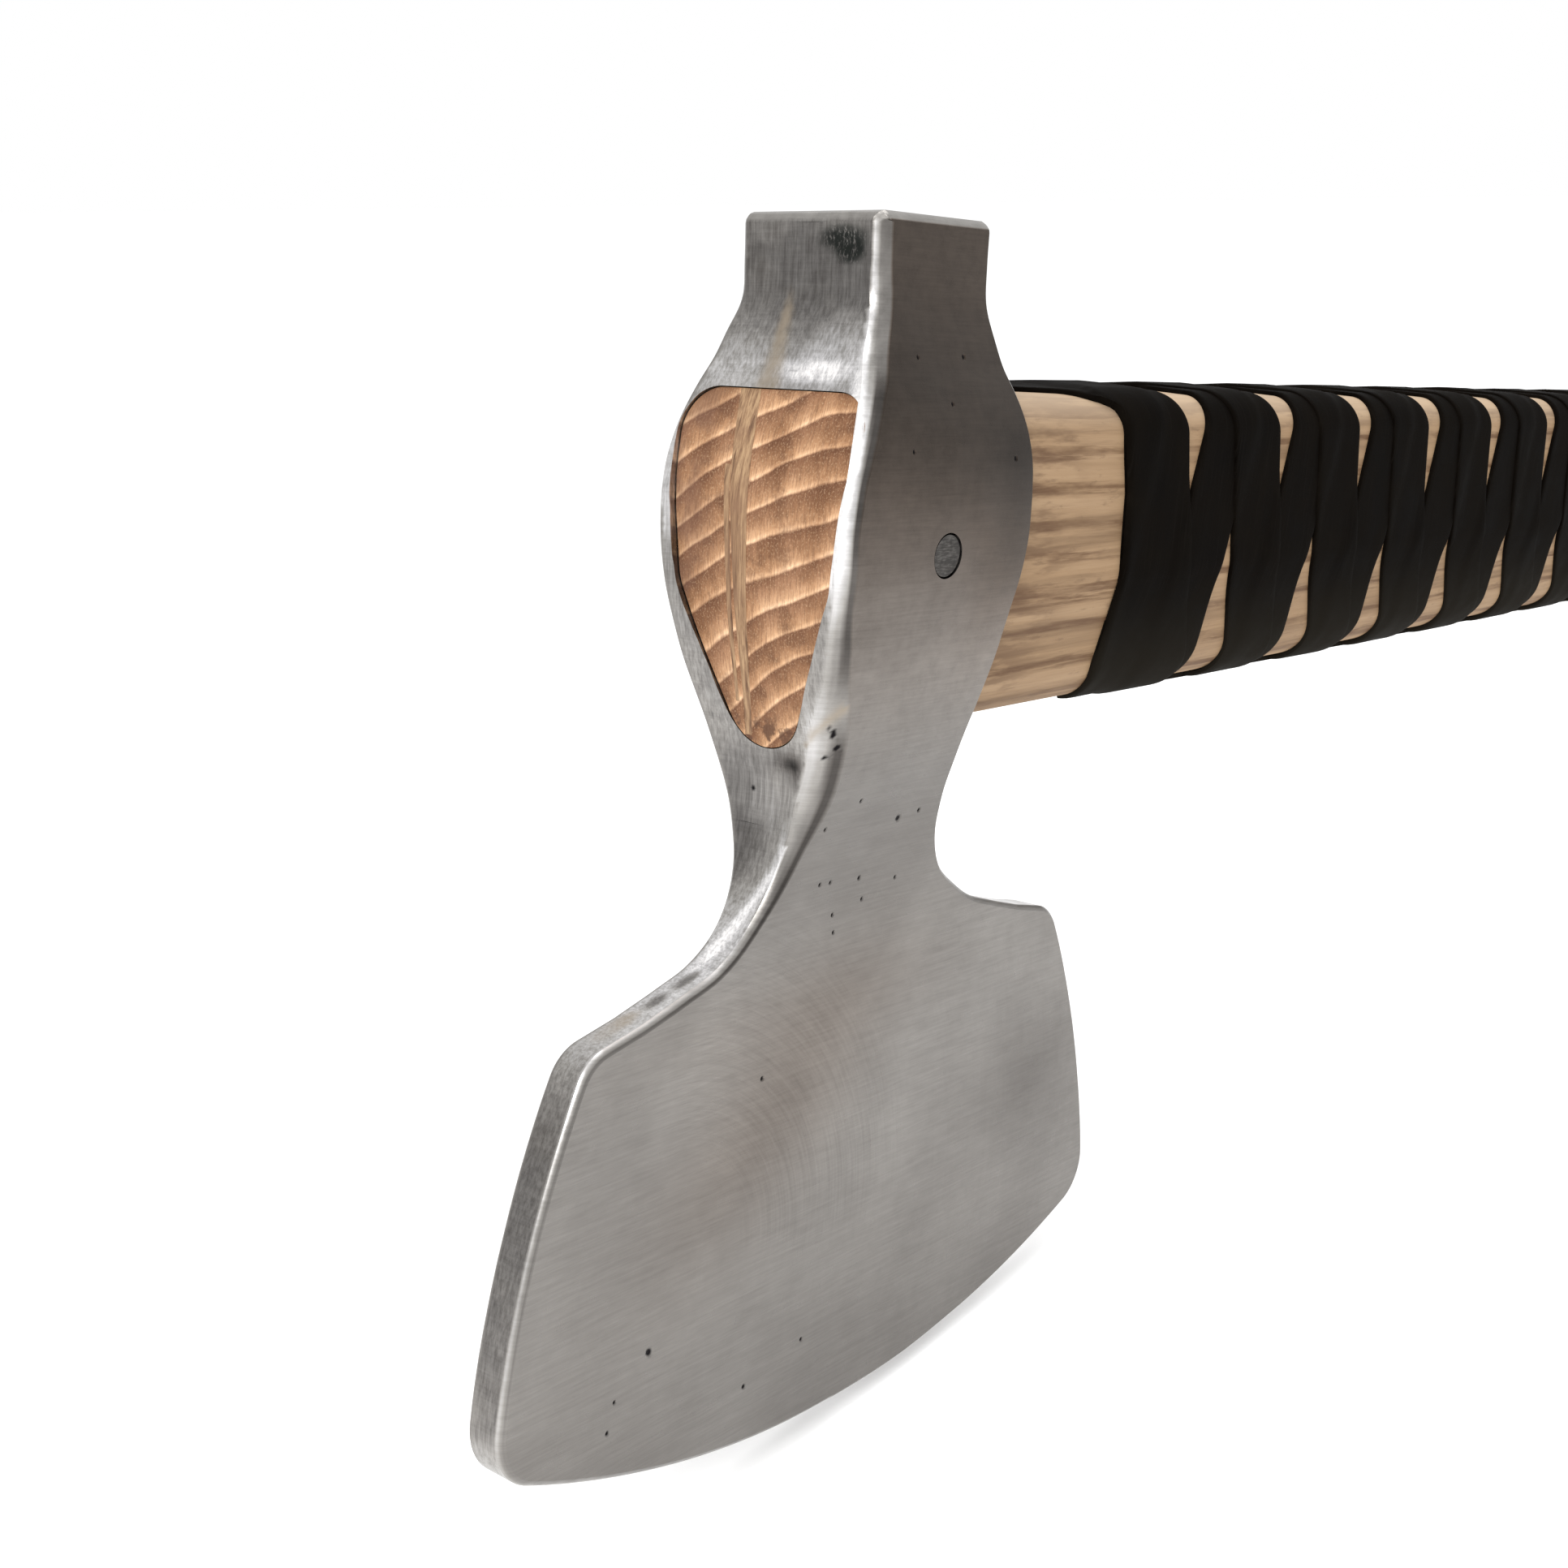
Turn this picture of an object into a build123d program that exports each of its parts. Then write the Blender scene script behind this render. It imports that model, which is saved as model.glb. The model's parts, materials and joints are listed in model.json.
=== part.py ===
from build123d import *
import os

# One-handed combat-style axe. Millimetres.
# Origin: centre of the eye on the haft axis. +X runs along the haft from the
# head to the butt, +Z points to the hammer poll, the blade hangs to -Z.

# ---- head ----
POLL_TOP = 41.0          # height of the flat striking face
POLL_TOE_X = 10.6        # depth of the poll on the open (toe) side of the haft axis
POLL_HEEL_X = 10.9       # and on the haft (heel) side
POLL_Y = 10.9            # half thickness of the poll
EYE_TOE_X = 19.6         # depth at the eye, toe side
EYE_HEEL_X = 17.0        # depth at the eye, heel side
EYE_Y = 15.3             # half thickness over the eye
NECK_TOE_X = 15.0        # depth at the narrowest part of the neck, toe side
NECK_HEEL_X = 13.0       # and heel side
BLADE_Y = 2.85           # half thickness of the blade plate
SHOULDER = (46.8, -52.1) # upper corners of the blade before rounding
SHOULDER_R = 6.0
TIP = (60.3, -97.9)      # lower corners of the blade before rounding
TIP_R = 7.5
EDGE_Z = -111.1          # lowest point of the blunt curved edge
ARRIS = 1.1              # bevel along every long corner of the head
POLL_RIM = 1.2           # bevel round the striking face

# ---- cross pin ----
PIN_D = 5.0
PIN_X = -1.2
PIN_Z = 2.2

# ---- haft ----
BUTT_X = 732.0           # butt end; the whole axe is 750 long
SEAT_X = 6.0             # where the tenon changes to the full haft section
BUTT_BEVEL = 3.0

# ---- wrap ----
PITCH = 26.9             # advance per turn of either strip
STRIP_W = 15.6           # width of a strip measured along the haft
STRIP_T = 1.0            # thickness of a strip
FIRST_GAP_X = 57.5       # centre of the first open diamond on the top
MID_Z = 3.8              # height at which the two strips lie side by side
WRAP_START_NEAR = 39.5   # clean starting edge on the -Y side
WRAP_START_FAR = 22.0    # on the +Y side the second strip starts nearer the head
WRAP_END = 716.0
TURNS = 25

# ---- tacks ----
TACK_HEAD_D = 6.0
TACK_HEAD_T = 1.0
TACK_SHANK_D = 1.6
TACK_LENGTH = 10.0

os.makedirs("parts", exist_ok=True)


def rounded(circles, grow=0.0):
    """Section round the haft: the convex outline round (y, z, radius) circles."""
    rings = [Pos(y, z) * Circle(r + grow) for y, z, r in circles]
    return Plane.YZ * make_hull(rings[0].edges() + [e for c in rings[1:] for e in c.edges()])


EYE = [(-8.8, 15.9, 4.8), (8.8, 15.9, 4.8), (-4.8, 0, 7.0), (4.8, 0, 7.0), (0, -15.6, 5.6)]
HAFT = [(-9.1, 16.0, 4.9), (9.1, 16.0, 4.9), (0, 8.4, 13.0), (-5.5, -1.5, 7.5), (5.5, -1.5, 7.5),
        (0, -12.1, 9.3)]


def bar(face, x0, x1):
    return Pos(x0, 0, 0) * extrude(face, amount=x1 - x0, dir=(1, 0, 0))


def block(x0, x1, y0, y1, z0, z1):
    return Pos((x0 + x1) / 2, (y0 + y1) / 2, (z0 + z1) / 2) * Box(x1 - x0, y1 - y0, z1 - z0)


# ---------------------------------------------------------------- head
TOE_LINE = [(POLL_TOE_X, 32), (13.4, 24), (17.9, 15), (EYE_TOE_X, 5.5), (18.5, -9), (15.9, -20),
            (NECK_TOE_X, -26), (15.5, -32), (17.6, -38), (22.3, -44), (31.0, -48.2), SHOULDER]
HEEL_LINE = [(POLL_HEEL_X, 32), (12.6, 25), (16.0, 16.5), (EYE_HEEL_X, 5), (15.2, -9), (13.5, -19),
             (NECK_HEEL_X, -25), (14.1, -32), (16.4, -38), (22.2, -44), (31.0, -48.2), SHOULDER]


def depth_side(s, line):
    """Outline of one side (s = -1 toe, +1 heel): poll, eye, neck, shoulder, blade end."""
    top = Line((s * line[0][0], POLL_TOP), (s * line[0][0], 32))
    side = Spline(*[(s * x, z) for x, z in line], tangents=[(0, -1), (s * 1, -0.24)])
    end = ThreePointArc((s * SHOULDER[0], SHOULDER[1]), (s * 55.0, -72.5), (s * TIP[0], TIP[1]))
    return [top, side, end]


def cheek(s):
    """Half thickness of the head (s = -1 or +1) from the poll down to the blade plate."""
    half = [(POLL_Y, 31), (12.5, 24), (14.5, 18), (EYE_Y, 9), (13.0, -10), (8.6, -25), (4.9, -34.5),
            (3.2, -42), (BLADE_Y, -48)]
    top = Line((s * POLL_Y, POLL_TOP), (s * POLL_Y, 31))
    side = Spline(*[(s * y, z) for y, z in half], tangents=[(0, -1), (0, -1)])
    plate = Line((s * BLADE_Y, -48), (s * BLADE_Y, EDGE_Z - 5))
    return [top, side, plate]


edge = ThreePointArc((-TIP[0], TIP[1]), (0, EDGE_Z), TIP)
poll = Line((-POLL_TOE_X, POLL_TOP), (POLL_HEEL_X, POLL_TOP))
outline = make_face(Wire([poll, edge] + depth_side(-1, TOE_LINE) + depth_side(1, HEEL_LINE)))
corners = outline.vertices().sort_by(Axis.Y)
outline = fillet(corners[0:2], TIP_R)
outline = fillet([v for v in outline.vertices() if abs(abs(v.X) - SHOULDER[0]) < 0.01], SHOULDER_R)
thickness = make_face(Wire(
    cheek(-1) + cheek(1) + [Line((-POLL_Y, POLL_TOP), (POLL_Y, POLL_TOP)),
                            Line((-BLADE_Y, EDGE_Z - 5), (BLADE_Y, EDGE_Z - 5))]))
side_view = extrude(Plane.XZ.offset(-40) * outline, amount=80)
front_view = extrude(Plane.YZ.offset(-80) * thickness, amount=160)
envelope = side_view & front_view

def across(e):
    """Edges that run straight across a face of the head instead of along its corners."""
    d = e @ 1 - e @ 0
    return e.geom_type == GeomType.LINE and abs(d.Z) < 0.1 and abs(d.X) + abs(d.Y) > 3


envelope = chamfer([e for e in envelope.edges() if not across(e)], ARRIS)
envelope = chamfer(envelope.faces().sort_by(Axis.Z)[-1].edges(), POLL_RIM)

eye_bar = bar(rounded(EYE), -40, 40)
pin_hole = Pos(PIN_X, 0, PIN_Z) * Rot(90, 0, 0) * Cylinder(PIN_D / 2, 60)
axe_head = envelope - eye_bar - pin_hole
cross_pin = envelope & pin_hole

# ---------------------------------------------------------------- eye wedges
END_GRAIN = [(-12.2, 26), (-14.6, 21), (-16.9, 15), (-18.3, 9), (-18.6, 2), (-18.4, -4), (-17.6, -10),
             (-15.5, -20), (-14.4, -30)]  # (x, z) of the tenon end, sunk a little inside the toe face


def wedge(x0, x1, line, wide, thin):
    """Taper following line, a list of (y, z); wide and thin are its half thickness at top and
    foot where it shows (x0) and at its buried end (x1)."""
    def end(x, top, foot):
        n = len(line) - 1
        half = [top + (foot - top) * i / n for i in range(n + 1)]
        left = Spline(*[Vector(x, y - h, z) for (y, z), h in zip(line, half)])
        right = Spline(*[Vector(x, y + h, z) for (y, z), h in zip(line, half)])
        return Face(Wire([left, Line(left @ 1, right @ 1), right, Line(right @ 0, left @ 0)]))
    return loft([end(x0, *wide), end(x1, *thin)], ruled=True)


end_curve = Spline(*END_GRAIN)
back = Polyline(end_curve @ 1, (60, -30), (60, 26), end_curve @ 0)
sunk = extrude(Plane.XZ.offset(-40) * make_face(Wire([end_curve] + back.edges())), amount=80)
in_eye = envelope & eye_bar & sunk
MAIN_LINE = [(5.3, 24), (3.25, 12), (2.5, 3), (2.1, -6), (2.6, -20)]
SIDE_LINE = [(5.2, 12), (3.95, -2), (3.8, -16)]
main_wedge = wedge(-20, 13, MAIN_LINE, (1.85, 0.55), (0.35, 0.2))
eye_wedge = (main_wedge & in_eye) - pin_hole
side_wedge = wedge(-20, -6, SIDE_LINE, (0.5, 0.3), (0.1, 0.1))
side_wedge = (side_wedge & in_eye) - main_wedge

# ---------------------------------------------------------------- haft
haft_body = bar(rounded(HAFT), SEAT_X, BUTT_X)
haft_body = chamfer(haft_body.faces().sort_by(Axis.X)[-1].edges(), BUTT_BEVEL)
tenon = in_eye & block(-40, SEAT_X, -40, 40, -40, 40)
haft = tenon + (haft_body - axe_head)
haft = haft - pin_hole - eye_wedge - side_wedge

# ---------------------------------------------------------------- wrap
REACH = 30.0                                    # beyond the section in every direction
QUADS = [(-1, 1), (1, 1), (1, -1), (-1, -1)]    # (side of y, side of z - MID_Z)
SIDE_Y = 14.4                                   # nominal half width of the wrapped haft
SLANT = 0.55                                    # share of the advance made on the upright side


def strip_pass(x_mid, hand, sy, sz, width):
    """Slanted slab holding one quarter turn whose centre line leaves x_mid at the side."""
    run = 21.2 - MID_Z if sz > 0 else MID_Z + 21.4
    lean = -hand * sy * sz * PITCH / 4

    def centre(y, z):
        up = abs(z - MID_Z) / run
        over = (SIDE_Y - abs(y)) / SIDE_Y
        return x_mid + lean * (SLANT * up + (1 - SLANT) * over)
    corners = [(0, MID_Z), (sy * REACH, MID_Z), (sy * REACH, MID_Z + sz * REACH), (0, MID_Z + sz * REACH)]
    pts = [Vector(centre(y, z) - width / 2, y, z) for y, z in corners]
    return extrude(Face(Wire.make_polygon(pts)), amount=width, dir=(1, 0, 0))


def passes(hand, sy, sz, width):
    """All quarter turns of one strip in one quarter of the section."""
    x_side = FIRST_GAP_X + PITCH * (0.25 if hand * sy < 0 else 0.75)
    turns = range(-1, TURNS + 1)
    return Compound([strip_pass(x_side + k * PITCH, hand, sy, sz, width) for k in turns])


def quarter(sy, sz, inner, outer):
    """One quarter of the sleeve round the haft between two offsets of its section."""
    start = WRAP_START_NEAR if sy < 0 else WRAP_START_FAR
    y0, y1 = sorted((0, sy * REACH))
    z0, z1 = sorted((MID_Z, MID_Z + sz * REACH))
    sleeve = bar(rounded(HAFT, outer), start, WRAP_END) - bar(rounded(HAFT, inner), start, WRAP_END)
    return sleeve & block(start, WRAP_END, y0, y1, z0, z1)


first_parts, second_parts = [], []
for sy, sz in QUADS:
    layer1 = quarter(sy, sz, 0, STRIP_T)
    layer2 = quarter(sy, sz, STRIP_T, 2 * STRIP_T)
    lower = layer1 & passes(1, sy, sz, STRIP_W)
    second = passes(-1, sy, sz, STRIP_W)
    on_haft = (layer1 & second) - lower
    riding = (layer2 & second) & passes(1, sy, sz, STRIP_W + 2)
    first_parts += lower.solids()
    second_parts += on_haft.solids() + riding.solids()

wrap_first = first_parts[0].fuse(*first_parts[1:])
wrap_second = second_parts[0].fuse(*second_parts[1:])

# ---------------------------------------------------------------- tacks at the strip ends
sleeve_core = bar(rounded(HAFT, STRIP_T), 0, BUTT_X)


def tack(x):
    """Round flat-headed tack driven into the far side of the haft through one strip."""
    head = Pos(x, 14.5, MID_Z) * Rot(90, 0, 0) * Cylinder(TACK_HEAD_D / 2, 2 + TACK_HEAD_T)
    head = head - sleeve_core
    return head + shank(x)


def shank(x):
    return Pos(x, 15 - TACK_LENGTH / 2, MID_Z) * Rot(90, 0, 0) * Cylinder(TACK_SHANK_D / 2, TACK_LENGTH)


TACKS = [FIRST_GAP_X - 0.75 * PITCH, FIRST_GAP_X - 0.25 * PITCH,
         FIRST_GAP_X + 23.75 * PITCH, FIRST_GAP_X + 24.25 * PITCH]
tacks = [tack(x) for x in TACKS]
for x in TACKS:
    wrap_first -= shank(x)
    wrap_second -= shank(x)
    haft -= shank(x)

# ---------------------------------------------------------------- write
NODES = {
    "axe_head": axe_head,
    "haft": haft,
    "eye_wedge_main": eye_wedge,
    "eye_wedge_side": side_wedge,
    "cross_pin": cross_pin,
    "grip_wrap_first_strip": wrap_first,
    "grip_wrap_second_strip": wrap_second,
    "wrap_tacks": Compound(tacks),
}
for name, shape in NODES.items():
    box = shape.bounding_box()
    print(name, len(shape.solids()), round(shape.volume, 1), shape.is_valid, box.min, box.max)
    export_step(shape, f"parts/{name}.step")
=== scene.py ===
import json
import math
import bmesh
import bpy
import numpy as np
from mathutils import Matrix, Vector
from mathutils.geometry import delaunay_2d_cdt

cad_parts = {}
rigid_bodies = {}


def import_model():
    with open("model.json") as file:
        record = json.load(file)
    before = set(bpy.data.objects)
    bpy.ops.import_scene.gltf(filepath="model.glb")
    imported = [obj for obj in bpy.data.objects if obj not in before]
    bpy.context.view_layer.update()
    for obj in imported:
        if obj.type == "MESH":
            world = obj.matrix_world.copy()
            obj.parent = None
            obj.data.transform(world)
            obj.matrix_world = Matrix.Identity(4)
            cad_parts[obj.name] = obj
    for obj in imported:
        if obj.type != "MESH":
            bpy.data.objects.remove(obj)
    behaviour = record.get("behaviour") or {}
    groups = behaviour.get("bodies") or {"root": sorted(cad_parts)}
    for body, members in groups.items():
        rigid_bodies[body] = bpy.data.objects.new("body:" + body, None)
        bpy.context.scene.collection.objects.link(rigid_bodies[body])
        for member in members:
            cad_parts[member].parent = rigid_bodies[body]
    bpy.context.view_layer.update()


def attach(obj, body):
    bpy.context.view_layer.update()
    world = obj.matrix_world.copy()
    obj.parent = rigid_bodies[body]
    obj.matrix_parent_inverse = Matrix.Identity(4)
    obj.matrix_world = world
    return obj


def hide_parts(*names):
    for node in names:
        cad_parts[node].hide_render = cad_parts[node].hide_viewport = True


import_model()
MM = 0.001               # a millimetre in the metres of the frame
TINY = 1e-8              # metres: shorter edges are dissolved
CDT_ROUNDING = 1e-7      # rounding allowed when a face is triangulated
# The near side of the axe is -Y and the far side +Y. The toe is -X and the heel, where the haft
# leaves the head, is +X. A sign of -1 means the near side and 1 the far side.


# ------------------------------------------------------------------ small helpers
def curve(points, step):
    """Smooth line through the points (Catmull-Rom on chord length), resampled every step mm."""
    p = np.array(points, float)
    t = np.concatenate([[0], np.cumsum(np.linalg.norm(np.diff(p, axis=0), axis=1))])
    m = np.gradient(p, t, axis=0)
    out = []
    for i in range(len(p) - 1):
        h = t[i + 1] - t[i]
        u = np.linspace(0, 1, max(2, int(math.ceil(h / step))) + 1)[:-1, None]
        a, b = 2 * u**3 - 3 * u**2 + 1, u**3 - 2 * u**2 + u
        c, d = -2 * u**3 + 3 * u**2, u**3 - u**2
        out.append(a * p[i] + b * h * m[i] + c * p[i + 1] + d * h * m[i + 1])
    return np.vstack(out + [p[-1:]])


def table(points):
    """Smooth function of z through (z, value) pairs, kept within the values given."""
    p = sorted(points)
    c = curve(p, 0.5)
    low, high = np.array(p).T[1].min(), np.array(p).T[1].max()
    return lambda z: np.clip(np.interp(z, c[:, 0], c[:, 1]), low, high)


def arc(a, mid, b, step):
    """Circle arc through three points of the plane."""
    (ax, ay), (bx, by), (cx, cy) = a, mid, b
    d = 2 * (ax * (by - cy) + bx * (cy - ay) + cx * (ay - by))
    ux = ((ax**2 + ay**2) * (by - cy) + (bx**2 + by**2) * (cy - ay) + (cx**2 + cy**2) * (ay - by)) / d
    uy = ((ax**2 + ay**2) * (cx - bx) + (bx**2 + by**2) * (ax - cx) + (cx**2 + cy**2) * (bx - ax)) / d
    r = math.hypot(ax - ux, ay - uy)
    t0, t1, t2 = (math.atan2(y - uy, x - ux) for x, y in (a, mid, b))
    span = (t2 - t0) % (2 * math.pi)
    if not (t1 - t0) % (2 * math.pi) < span:
        span -= 2 * math.pi
    n = max(2, int(abs(span) * r / step))
    t = t0 + span * np.linspace(0, 1, n + 1)
    return np.stack([ux + r * np.cos(t), uy + r * np.sin(t)], 1)


def corner(p0, p, p1, r, n):
    """Round the corner p between directions to p0 and p1 with radius r."""
    p0, p, p1 = (np.array(q, float) for q in (p0, p, p1))
    a, b = (p0 - p) / np.linalg.norm(p0 - p), (p1 - p) / np.linalg.norm(p1 - p)
    half = math.acos(np.clip(a @ b, -1, 1)) / 2
    reach = r / math.tan(half)
    t = np.linspace(0, 1, n)[:, None]
    s, e = p + a * reach, p + b * reach
    centre = p + (a + b) / np.linalg.norm(a + b) * r / math.sin(half)
    q = s * (1 - t) + e * t - centre
    return centre + q / np.linalg.norm(q, axis=1)[:, None] * r


def noise1(x, seed, size):
    """Smooth one-dimensional noise of the given feature size."""
    g = np.random.default_rng(seed).normal(size=512)
    u = np.asarray(x, float) / size
    i = np.floor(u).astype(int)
    f = u - i
    f = f * f * (3 - 2 * f)
    return g[i % 512] * (1 - f) + g[(i + 1) % 512] * f


def noise2(x, y, seed, size):
    """Smooth two-dimensional noise of the given feature size."""
    g = np.random.default_rng(seed).normal(size=(256, 256))
    u, v = np.asarray(x, float) / size, np.asarray(y, float) / size
    i, j = np.floor(u).astype(int), np.floor(v).astype(int)
    f, h = u - i, v - j
    f, h = f * f * (3 - 2 * f), h * h * (3 - 2 * h)
    a = g[i % 256, j % 256] * (1 - f) + g[(i + 1) % 256, j % 256] * f
    b = g[i % 256, (j + 1) % 256] * (1 - f) + g[(i + 1) % 256, (j + 1) % 256] * f
    return a * (1 - h) + b * h


def smooth(v, a, b):
    """0 at a, 1 at b, with a soft start and end."""
    t = np.clip((np.asarray(v, float) - a) / (b - a), 0, 1)
    return t * t * (3 - 2 * t)


class Builder:
    """Collects vertices and faces, welds them, and makes one object."""

    def __init__(self):
        self.v, self.f, self.n = [], [], 0

    def add(self, verts, faces):
        """Take over points in mm and faces that index them."""
        self.v.append(np.asarray(verts, float))
        self.f += [tuple(int(i) + self.n for i in face) for face in faces]
        self.n += len(verts)

    def grid(self, rows, closed=False):
        """Quads between rows of points; closed joins each row's end to its start."""
        rows = [np.asarray(r, float) for r in rows]
        m = len(rows[0])
        faces = []
        for i in range(len(rows) - 1):
            for j in range(m if closed else m - 1):
                a, b = i * m + j, i * m + (j + 1) % m
                faces.append((a, b, b + m, a + m))
        self.add(np.vstack(rows), faces)

    def fill(self, loops, grid_points, lift):
        """Triangulate between an outer loop and holes with inner points, then lift to 3-D."""
        pts, edges = [], []
        for loop in loops:
            k = len(pts)
            pts += [Vector(p) for p in loop]
            edges += [(k + i, k + (i + 1) % len(loop)) for i in range(len(loop))]
        pts += [Vector(p) for p in grid_points]
        out = delaunay_2d_cdt(pts, edges, [], 0, CDT_ROUNDING)
        v = np.array([tuple(p) for p in out[0]])
        cent = np.array([v[list(f)].mean(0) for f in out[2]])
        keep = inside(cent, loops[0])
        for hole in loops[1:]:
            keep &= ~inside(cent, hole)
        faces = []
        for f, ok in zip(out[2], keep):
            if ok:
                a, b, c = (v[i] for i in f[:3])
                ccw = (b[0] - a[0]) * (c[1] - a[1]) - (b[1] - a[1]) * (c[0] - a[0]) > 0
                faces.append(tuple(f) if ccw else tuple(f)[::-1])
        self.add(lift(v), faces)

    def make(self, name, sharp=None, weld=1e-3):
        """One object; points closer than weld mm merge, edges over sharp degrees stay sharp."""
        mesh = bpy.data.meshes.new(name)
        verts = np.vstack(self.v)
        mesh.from_pydata([tuple(p) for p in verts * MM], [], self.f)
        bm = bmesh.new()
        bm.from_mesh(mesh)
        bmesh.ops.remove_doubles(bm, verts=bm.verts, dist=weld * MM)
        bmesh.ops.dissolve_degenerate(bm, dist=TINY, edges=bm.edges)
        loose = [v for v in bm.verts if not v.link_faces]
        bmesh.ops.delete(bm, geom=loose, context="VERTS")
        bmesh.ops.recalc_face_normals(bm, faces=bm.faces)
        bm.to_mesh(mesh)
        bm.free()
        mesh.shade_smooth()
        if sharp is not None:
            mesh.set_sharp_from_angle(angle=math.radians(sharp))
        obj = bpy.data.objects.new(name, mesh)
        bpy.context.scene.collection.objects.link(obj)
        return obj


def inside(p, loop):
    """Even-odd test of points against a closed loop."""
    loop = np.asarray(loop, float)
    x, y = p[:, 0], p[:, 1]
    res = np.zeros(len(p), bool)
    for (x0, y0), (x1, y1) in zip(loop, np.roll(loop, -1, 0)):
        if y0 == y1:
            continue
        hit = (y0 > y) != (y1 > y)
        res ^= hit & (x < (x1 - x0) * (y - y0) / (y1 - y0) + x0)
    return res


def attribute(obj, name, values):
    """Store one number per vertex for the shader."""
    att = obj.data.attributes.new(name, "FLOAT", "POINT")
    att.data.foreach_set("value", np.asarray(values, np.float32))


def coords(obj):
    """Vertex positions in mm."""
    co = np.empty(len(obj.data.vertices) * 3, np.float32)
    obj.data.vertices.foreach_get("co", co)
    return co.reshape(-1, 3) / MM


# ------------------------------------------------------------------ shapes of the axe, mm
TOP = 41.0
SHOULDER, TIP = (46.8, -52.1), (60.3, -98.2)
EDGE = -111.1
PIN_X, PIN_Z, PIN_R = -1.2, 2.2, 2.5
PIN_GAP = 0.24           # recess round the pin
EYE_GAP = 0.14           # recess between the rim of the eye and the wood
PIT_DEEP = 0.3           # depth of a casting pit
FACE_Z = (-31.0, 39.9)   # the toe and heel faces are finely meshed between these heights
TOE = [(10.5, 39.7), (10.45, 35), (10.5, 31), (12.1, 27), (13.4, 24), (14.9, 21), (17.6, 15), (19.2, 9),
       (19.5, 3), (19.2, -3), (18.2, -9), (17.05, -14), (15.6, -20), (14.7, -26), (15.2, -32), (17.2, -38),
       (19.1, -41), (21.9, -44), (25.6, -46.4), (31.0, -48.2), (38.0, -50.2)]
HEEL = [(10.9, 39.7), (10.95, 35), (11.2, 31), (12.6, 25), (15.7, 16.5), (16.7, 5), (15.1, -9), (13.4, -18),
        (12.6, -24), (13.0, -29), (14.4, -35), (15.8, -38), (17.9, -41), (21.7, -44), (25.6, -46.4),
        (31.0, -48.2), (38.0, -50.2)]


def half_outline(line):
    """Outline of one half from the top corner to the middle of the edge, x positive."""
    x0 = line[0][0]
    top = curve([(x0 - 1.15, TOP), (x0 - 0.4, 40.7), (x0 - 0.1, 40.2)], 0.35)
    turn = corner((38.0, -50.2), SHOULDER, (52.0, -63.0), 6.0, 14)
    end = arc(tuple(turn[-1]), (55.2, -72.5), (59.4, -90.6), 0.7)
    tip = corner((59.4, -90.6), TIP, (50.0, -102.2), 7.5, 14)
    edge = arc(tuple(tip[-1]), (25.0, -109.0), (0, EDGE), 0.8)
    return np.vstack([top, curve(line, 0.6), turn, end[1:-1], tip, edge[1:]])


toe, heel = half_outline(TOE), half_outline(HEEL)
top_run = np.stack([np.linspace(-toe[0, 0], heel[0, 0], 27)[1:-1], np.full(25, TOP)], 1)
ring = np.vstack([top_run, heel, (toe * [-1, 1])[::-1][1:]])
normal = np.roll(ring, -1, 0) - np.roll(ring, 1, 0)
normal = np.stack([-normal[:, 1], normal[:, 0]], 1)
normal /= np.linalg.norm(normal, axis=1)[:, None]

thick = table([(42, 10.65), (36, 10.6), (31, 10.75), (27, 11.6), (24, 12.3), (21, 13.35), (18, 14.2),
               (15, 14.75), (12, 15.0), (6, 14.9), (0, 14.5), (-6, 13.45), (-12, 12.2), (-18, 10.6),
               (-25, 8.4), (-30, 6.4), (-34.5, 4.9), (-38, 4.0), (-42, 3.25), (-48, 2.9), (-60, 2.85),
               (-115, 2.8)])
near_toe = table([(42, 1.75), (34, 1.8), (29, 1.9), (24, 2.15), (19.5, 2.1), (14, 1.9), (6, 1.6),
                  (1.7, 1.85), (-2.8, 1.75), (-7.5, 2.05), (-13, 2.5), (-20, 3.3), (-27, 3.1), (-34, 1.7),
                  (-40, 1.1), (-48, 0.9), (-55, 0.75), (-75, 0.65), (-100, 0.8), (-116, 0.75)])
other = table([(42, 0.85), (10, 0.8), (-20, 0.9), (-45, 0.7), (-116, 0.65)])
# small casting pits: x, z, radius, on the near cheek
PITS = [(4.3, -31.9, 0.55), (8.3, -31.4, 0.35), (-5.5, -28.0, 0.30), (-11.0, -30.9, 0.30),
        (-0.6, -39.2, 0.35), (-8.7, -38.6, 0.30), (-6.6, -38.7, 0.30), (7.2, -40.5, 0.30), (0.8, -42.3, 0.30),
        (-5.0, -43.3, 0.30), (-4.5, -45.7, 0.30), (-5.2, 24.9, 0.30), (4.0, 25.1, 0.35), (-0.3, 19.7, 0.30),
        (11.8, 13.3, 0.35), (-8.8, 14.4, 0.30), (-36.2, -90.8, 0.65), (-18.8, -102.0, 0.40),
        (-43.0, -98.5, 0.35), (-41.9, -95.0, 0.30), (-17.2, -61.7, 0.35), (-7.6, -99.7, 0.35)]


def pit_depth(x, z):
    """1 in the middle of a pit, 0 outside all of them."""
    d = np.zeros(np.shape(x))
    for px, pz, pr in PITS:
        r = np.hypot(x - px, z - pz)
        d = np.maximum(d, np.clip(1.15 - r / pr, 0, 1))
    return d


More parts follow.
